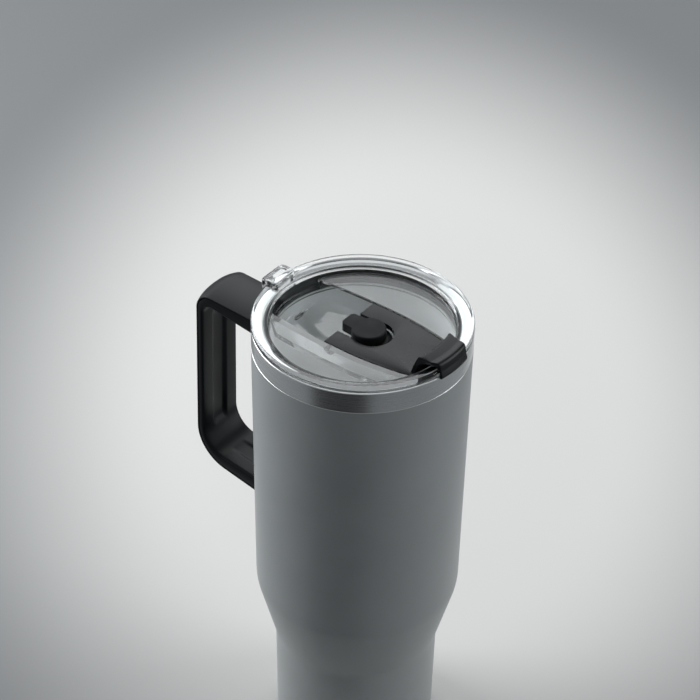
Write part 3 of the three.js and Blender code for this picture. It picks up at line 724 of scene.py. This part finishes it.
def troughTray(shape, floorUnder):
    # the outside of the trough
    panel = shape["panelDrop"]
    reach = shape["troughReach"]
    outline = bowedOutline(-reach, reach, -shape["panelWall"])
    tray = prism("tray", outline, lidZ(floorUnder), lidZ(panel + 0.4))
    ends = dropped([(0, floorUnder), (shape["trayFoot"], floorUnder), (shape["trayTop"], panel), (0, panel)])
    return combine(tray, lathe("trayEnds", ends, 192), "INTERSECT")


def troughHollow(shape):
    # the inside of the trough, open to above the rim
    reach = shape["troughReach"]
    floor = shape["troughDrop"]
    panel = shape["panelDrop"]
    wall = shape["rimInner"] - 0.2
    hollow = prism("hollow", bowedOutline(-reach, reach, 0), lidZ(floor), lidZ(-6))
    ends = rounded([(0, floor), (shape["endWallFoot"], floor, 1.2), (wall, panel), (wall, -7), (0, -7)])
    return combine(hollow, lathe("hollowEnds", dropped(ends), 192), "INTERSECT")


def lidBody(shape):
    floorUnder = shape["troughDrop"] + shape["panelWall"]
    lid = lathe("lidClear", lidPlateProfile(shape), 192)
    combine(lid, thumbTab(tabShape, shape["rimUnder"]), "UNION")
    combine(lid, troughTray(shape, floorUnder), "UNION")
    combine(lid, troughHollow(shape), "DIFFERENCE")
    openings = {
        "strawHole": circle(shape["strawRadius"], shape["strawX"], 0),
        "sipSlot": slotOutline(shape["sipX"], shape["sipLength"], shape["sipWidth"]),
        "ventSlot": slotOutline(shape["ventX"], shape["ventLength"], shape["ventWidth"]),
    }
    for name, outline in openings.items():
        combine(lid, prism(name, outline, lidZ(shape["cutBottom"]), lidZ(shape["cutTop"])), "DIFFERENCE")
    boreEnd = shape["pinBoreEnd"]
    bore = crossRod(shape["pinBore"], -boreEnd, boreEnd, shape["hingeX"], shape["hingeDrop"])
    combine(lid, bore, "DIFFERENCE")
    softenEdges(lid, shape["edge"], 2)
    return lid


lidClear = lidBody(lidShape)
dress(lidClear, clearFinish, "lid", "clear_plastic", "lid_body")

gasketShape = {"seat": 43.7, "wall": 44.8, "fin": 45.4, "top": 4.6, "bottom": 12.3}


def gasketProfile(shape):
    # a flat-backed ring with three soft fins
    seat = shape["seat"]
    wall = shape["wall"]
    fin = shape["fin"]
    bottom = shape["bottom"]
    top = shape["top"]
    return rounded(dropped([
        (seat, bottom), (wall, bottom, 0.15), (fin, 11.7, 0.12), (wall, 11.1, 0.15), (wall, 9, 0.15),
        (fin, 8.4, 0.12), (wall, 7.8, 0.15), (wall, 5.8, 0.15), (fin, 5.2, 0.12), (wall, top, 0.15),
        (seat, top),
    ]), pieces=4)


sealRing = lathe("sealRing", gasketProfile(gasketShape), 192)
dress(sealRing, siliconeFinish, "lid", "black_silicone", "lid_gasket")
print("lid made")

# The flap with its hook, the seal under it and the plug.

flapShape = {
    "rearX": -7.7, "frontX": 42, "frontRadius": 40.4, "wall": 2.4, "play": 0.6, "holeX": 6,
    "holeRadius": 9.3, "forkHalf": 8.3, "forkFrom": -12, "cutBottom": 13, "cutTop": 0,
    "bossRadius": 3.1, "bossLength": 5, "pinHole": 1.4, "pinDepth": 4.2, "edge": 0.45,
    "hookFrom": 30, "hookTo": 56, "hookRootHalf": 12.8, "hookTipHalf": 8.4, "hookEdge": 0.9,
}


def hookProfile():
    # up from the flap's front, over the lid's rim and a little way down its outside
    return rounded(dropped([
        (37.6, 7.9), (39.6, 7.9), (39.8, 3, 1), (41.3, -0.3, 2), (43.2, -1.5, 1.5), (48.8, -1.5, 1.2),
        (50.4, 0.6, 1), (50.4, 4, 0.3), (51.6, 4, 0.4), (51.7, 2.6, 0.6), (50.9, 0, 2), (50.2, -4.4, 2),
        (46.2, -3.4, 3), (40.8, -4.5, 1.6), (38.6, 1.6, 3), (37.6, 5.5),
    ]), pieces=6)


def hookOverRim(shape):
    # the turned profile, trimmed to a wedge that narrows outwards
    hook = lathe("hook", hookProfile(), 288)
    root = shape["hookRootHalf"]
    tip = shape["hookTipHalf"]
    near = shape["hookFrom"]
    far = shape["hookTo"]
    wedge = prism("wedge", [(near, -root), (far, -tip), (far, tip), (near, root)], lidZ(10), lidZ(-8))
    combine(hook, wedge, "INTERSECT")
    softenEdges(hook, shape["hookEdge"], 4, 50)
    return hook


def flapBody(shape):
    top = lidShape["panelDrop"]
    under = top + shape["wall"]
    outline = bowedOutline(shape["rearX"], shape["frontX"], shape["play"])
    flap = prism("flapWithHook", outline, lidZ(under), lidZ(top))
    end = prism("end", circle(shape["frontRadius"], 0, 0, 192), lidZ(under + 1), lidZ(top - 1))
    combine(flap, end, "INTERSECT")
    bossEnd = lidShape["troughHalfWidth"] - shape["play"] - 0.2
    for side in (-1, 1):
        places = sorted((side * (bossEnd - shape["bossLength"]), side * bossEnd))
        boss = crossRod(shape["bossRadius"], *places, lidShape["hingeX"], lidShape["hingeDrop"])
        combine(flap, boss, "UNION")
    combine(flap, hookOverRim(shape), "UNION")
    below = lidZ(shape["cutBottom"])
    above = lidZ(shape["cutTop"])
    hole = prism("hole", circle(shape["holeRadius"], shape["holeX"], 0, 96), below, above)
    combine(flap, hole, "DIFFERENCE")
    gap = rectangle(shape["forkFrom"], shape["holeX"], -shape["forkHalf"], shape["forkHalf"])
    combine(flap, prism("fork", gap, below, above), "DIFFERENCE")
    for side in (-1, 1):
        places = sorted((side * (bossEnd - shape["pinDepth"]), side * (bossEnd + 1)))
        pinHole = crossRod(shape["pinHole"], *places, lidShape["hingeX"], lidShape["hingeDrop"])
        combine(flap, pinHole, "DIFFERENCE")
    softenEdges(flap, shape["edge"], 3)
    return flap


flapWithHook = flapBody(flapShape)
dress(flapWithHook, flapFinish, "flap", "flap_plastic", "flap")

padShape = {"length": 10, "width": 19, "top": 8.2, "bottom": 14.7, "edge": 0.8}
padOutline = slotOutline(lidShape["sipX"], padShape["length"], padShape["width"])
sipPad = prism("sipPad", padOutline, lidZ(padShape["bottom"]), lidZ(padShape["top"]))
softenEdges(sipPad, padShape["edge"], 3)
dress(sipPad, siliconeFinish, "flap", "black_silicone", "sip_seal")

plugShape = {
    "top": 3.5, "capRadius": 7.9, "capHeight": 4.9, "stemRadius": 5.6, "stemBottom": 20, "tabRear": -9,
    "tabRootHalf": 5.3, "tabHalf": 4.3, "tabCorner": 2,
    "neckX": 6, "neckRadius": 8.9, "neckBottom": 14.6, "neckRise": 0.2, "edge": 0.3,
}


def plugBody(shape):
    under = shape["top"] + shape["capHeight"]
    cap = shape["capRadius"]
    stem = shape["stemRadius"]
    plug = lathe("strawHolePlug", rounded(dropped([
        (0, shape["stemBottom"]), (stem, shape["stemBottom"], 1.2), (stem, 17.5, 0.3),
        (stem - 0.5, 16.9, 0.3), (stem, 16.3, 0.3), (stem, under, 0.4), (cap, under, 0.5),
        (cap, shape["top"], 0.7), (0, shape["top"]),
    ]), pieces=5), 96, (lidShape["strawX"], 0))
    root = shape["tabRootHalf"]
    half = shape["tabHalf"]
    corner = shape["tabCorner"]
    front = lidShape["strawX"]
    rear = shape["tabRear"]
    outline = rounded([(front, -root), (front, root), (rear, half, corner), (rear, -half, corner)])
    tab = prism("tab", outline, lidZ(under - 0.5), lidZ(shape["top"]))
    combine(plug, tab, "UNION")
    ledge = under - shape["neckRise"]
    rim = shape["neckRadius"]
    bottom = shape["neckBottom"]
    # the neck fills the flap's hole from below, with a shallow ring in its ledge
    neck = lathe("neck", rounded(dropped([
        (0, bottom), (rim, bottom, 0.4), (rim, 12.4), (rim - 0.5, 12), (rim, 11.6), (rim, ledge, 0.3),
        (rim - 0.8, ledge), (rim - 1.1, ledge + 0.6), (rim - 1.6, ledge + 0.6), (rim - 1.9, ledge),
        (0, ledge),
    ]), pieces=4), 96, (shape["neckX"], 0))
    combine(plug, neck, "UNION")
    softenEdges(plug, shape["edge"], 2)
    return plug


strawHolePlug = plugBody(plugShape)
dress(strawHolePlug, siliconeFinish, "plug", "black_silicone", "straw_plug")
print("flap, seal and plug made")

# Small pieces that keep their plain solids.

keptFinishes = {
    "vacuum_seal": solderFinish, "getter_pellet": screwFinish, "bracket_upper": baseFinish,
    "bracket_lower": baseFinish, "screw_upper_right": screwFinish, "screw_upper_left": screwFinish,
    "screw_lower_right": screwFinish, "screw_lower_left": screwFinish, "hinge_pin_left": flapFinish,
    "hinge_pin_right": flapFinish,
}
for nodeName, finish in keptFinishes.items():
    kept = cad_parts[nodeName]
    kept.data.materials.clear()
    kept.data.materials.append(finish)
print("small pieces dressed")

# Floor, light and camera.

# the floor's near and far colours paint a pool of lamp light and the shade around it
floorWithPaintedLight = {
    "size": 6.0, "near": (0.640, 0.630, 0.617), "far": (0.20, 0.205, 0.21), "centre": (-0.127, 0.205, 0.0),
    "turn": 37, "stretch": 1.64, "paintedPoolRadius": 0.11, "reach": 0.275,
}


def floorPiece(look):
    bm = bmesh.new()
    bmesh.ops.create_grid(bm, x_segments=8, y_segments=8, size=look["size"] / 2)
    floor = meshPiece("floor", bm)
    made, tree, shader = newMaterial("floorPaintedLightPool")
    shader.inputs["Roughness"].default_value = 0.85
    shader.inputs["Specular IOR Level"].default_value = 0.15
    # painted light: an oval pale pool of painted lamp light behind the mug, falling off into a darker sweep
    # of painted shade
    place = tree.nodes.new("ShaderNodeTexCoord")
    oval = tree.nodes.new("ShaderNodeMapping")
    oval.vector_type = "TEXTURE"
    oval.inputs["Location"].default_value = look["centre"]
    oval.inputs["Rotation"].default_value = (0, 0, math.radians(look["turn"]))
    oval.inputs["Scale"].default_value = (1, look["stretch"], 1)
    away = tree.nodes.new("ShaderNodeVectorMath")
    away.operation = "LENGTH"
    tree.links.new(place.outputs["Object"], oval.inputs["Vector"])
    tree.links.new(oval.outputs["Vector"], away.inputs[0])
    share = spread(tree, away.outputs["Value"], 0, 1, look["paintedPoolRadius"], look["reach"])
    ramp = tree.nodes.new("ShaderNodeValToRGB")
    ramp.color_ramp.interpolation = "EASE"
    ramp.color_ramp.elements[0].color = (*look["near"], 1)
    ramp.color_ramp.elements[1].color = (*look["far"], 1)
    tree.links.new(share, ramp.inputs["Fac"])
    tree.links.new(ramp.outputs["Color"], shader.inputs["Base Color"])
    floor.data.materials.append(made)


floorPiece(floorWithPaintedLight)

paintedShadeSheetShape = {
    "from": -101, "to": -46, "near": 0.07, "far": 0.75, "height": 0.003, "steps": 24,
    "shade": (0.030, 0.031, 0.032),
}


def paintedShadeSheet(flag):
    # painted shade: a dark sheet on the floor in front of the mug, standing in for the shade there, seen only
    # in reflections such as the bare band's
    bm = bmesh.new()
    steps = flag["steps"]
    rims = ([], [])
    for index in range(steps + 1):
        angle = math.radians(flag["from"] + (flag["to"] - flag["from"]) * index / steps)
        for rim, reach in zip(rims, (flag["near"], flag["far"])):
            spot = (reach * math.cos(angle), reach * math.sin(angle), flag["height"])
            rim.append(bm.verts.new(spot))
    for index in range(steps):
        bm.faces.new((rims[0][index], rims[1][index], rims[1][index + 1], rims[0][index + 1]))
    sheet = meshPiece("paintedShadeSheet", bm)
    made, tree, shader = newMaterial("paintedShadeSheetMatte")
    shadeNoise = objectNoise(tree, 900, (1, 1, 1), 3)
    dark = tuple(channel * 0.8 for channel in flag["shade"])
    tree.links.new(tinted(tree, shadeNoise, dark, flag["shade"]), shader.inputs["Base Color"])
    shader.inputs["Roughness"].default_value = 0.95
    shader.inputs["Specular IOR Level"].default_value = 0.1
    sheet.data.materials.append(made)
    sheet.visible_camera = False
    sheet.visible_shadow = False
    sheet.visible_diffuse = False
    sheet.visible_transmission = False


paintedShadeSheet(paintedShadeSheetShape)

lightSetup = {
    "world": (0.94, 0.97, 1.0),
    "worldStrength": 0.32,
    "tint": (0.96, 0.985, 1.0),
    "panels": [
        # name, place, aim, width, height, watts, whether it shows through the clear lid
        ("backSoftbox", (-0.62, 0.83, 1.02), (0.0, 0.0, 0.2), 1.3, 0.95, 8.4, False),
        ("highSoftbox", (-0.35, 0.47, 1.45), (-0.1, 0.2, 0.0), 1.5, 1.2, 2.1, True),
        ("leftStrip", (-0.95, -0.25, 0.42), (0.0, 0.0, 0.12), 0.7, 0.9, 11.5, False),
        ("rightStrip", (0.80, 0.62, 0.45), (0.0, 0.0, 0.12), 0.6, 0.9, 5.6, False),
    ],
}


def lightPanel(tint, name, place, aim, width, height, watts, showsThrough):
    data = bpy.data.lights.new(name, "AREA")
    data.shape = "RECTANGLE"
    data.size = width
    data.size_y = height
    data.energy = watts
    data.color = tint
    lamp = bpy.data.objects.new(name, data)
    scene.collection.objects.link(lamp)
    lamp.location = place
    lamp.rotation_euler = (Vector(aim) - Vector(place)).to_track_quat("-Z", "Y").to_euler()
    lamp.visible_transmission = showsThrough


world = bpy.data.worlds.new("paleStudio")
world.use_nodes = True
background = world.node_tree.nodes["Background"]
background.inputs["Color"].default_value = (*lightSetup["world"], 1)
background.inputs["Strength"].default_value = lightSetup["worldStrength"]
scene.world = world
for panel in lightSetup["panels"]:
    lightPanel(lightSetup["tint"], *panel)

cameraSetup = {
    "azimuth": 37.0, "elevation": 37.42, "distance": 1.556, "lens": 180, "roll": 1.14,
    "shiftRight": 0.00545, "shiftUp": 0.01407,
}


def placeCamera(setup):
    azimuth = math.radians(setup["azimuth"])
    elevation = math.radians(setup["elevation"])
    level = math.cos(elevation)
    towards = Vector((math.sin(azimuth) * level, -math.cos(azimuth) * level, math.sin(elevation)))
    right = Vector((math.cos(azimuth), math.sin(azimuth), 0))
    up = towards.cross(right)
    target = Vector((0, 0, lidTop * mm)) - right * setup["shiftRight"] - up * setup["shiftUp"]
    data = bpy.data.cameras.new("productCamera")
    data.lens = setup["lens"]
    data.sensor_width = 36
    data.clip_start = 0.05
    camera = bpy.data.objects.new("productCamera", data)
    scene.collection.objects.link(camera)
    camera.location = target + towards * setup["distance"]
    camera.rotation_mode = "QUATERNION"
    facing = (-towards).to_track_quat("-Z", "Y")
    camera.rotation_quaternion = facing @ Quaternion((0, 0, 1), math.radians(setup["roll"]))
    scene.camera = camera


placeCamera(cameraSetup)
scene.view_settings.view_transform = "Standard"
scene.view_settings.look = "None"
print("stage, light and camera set")
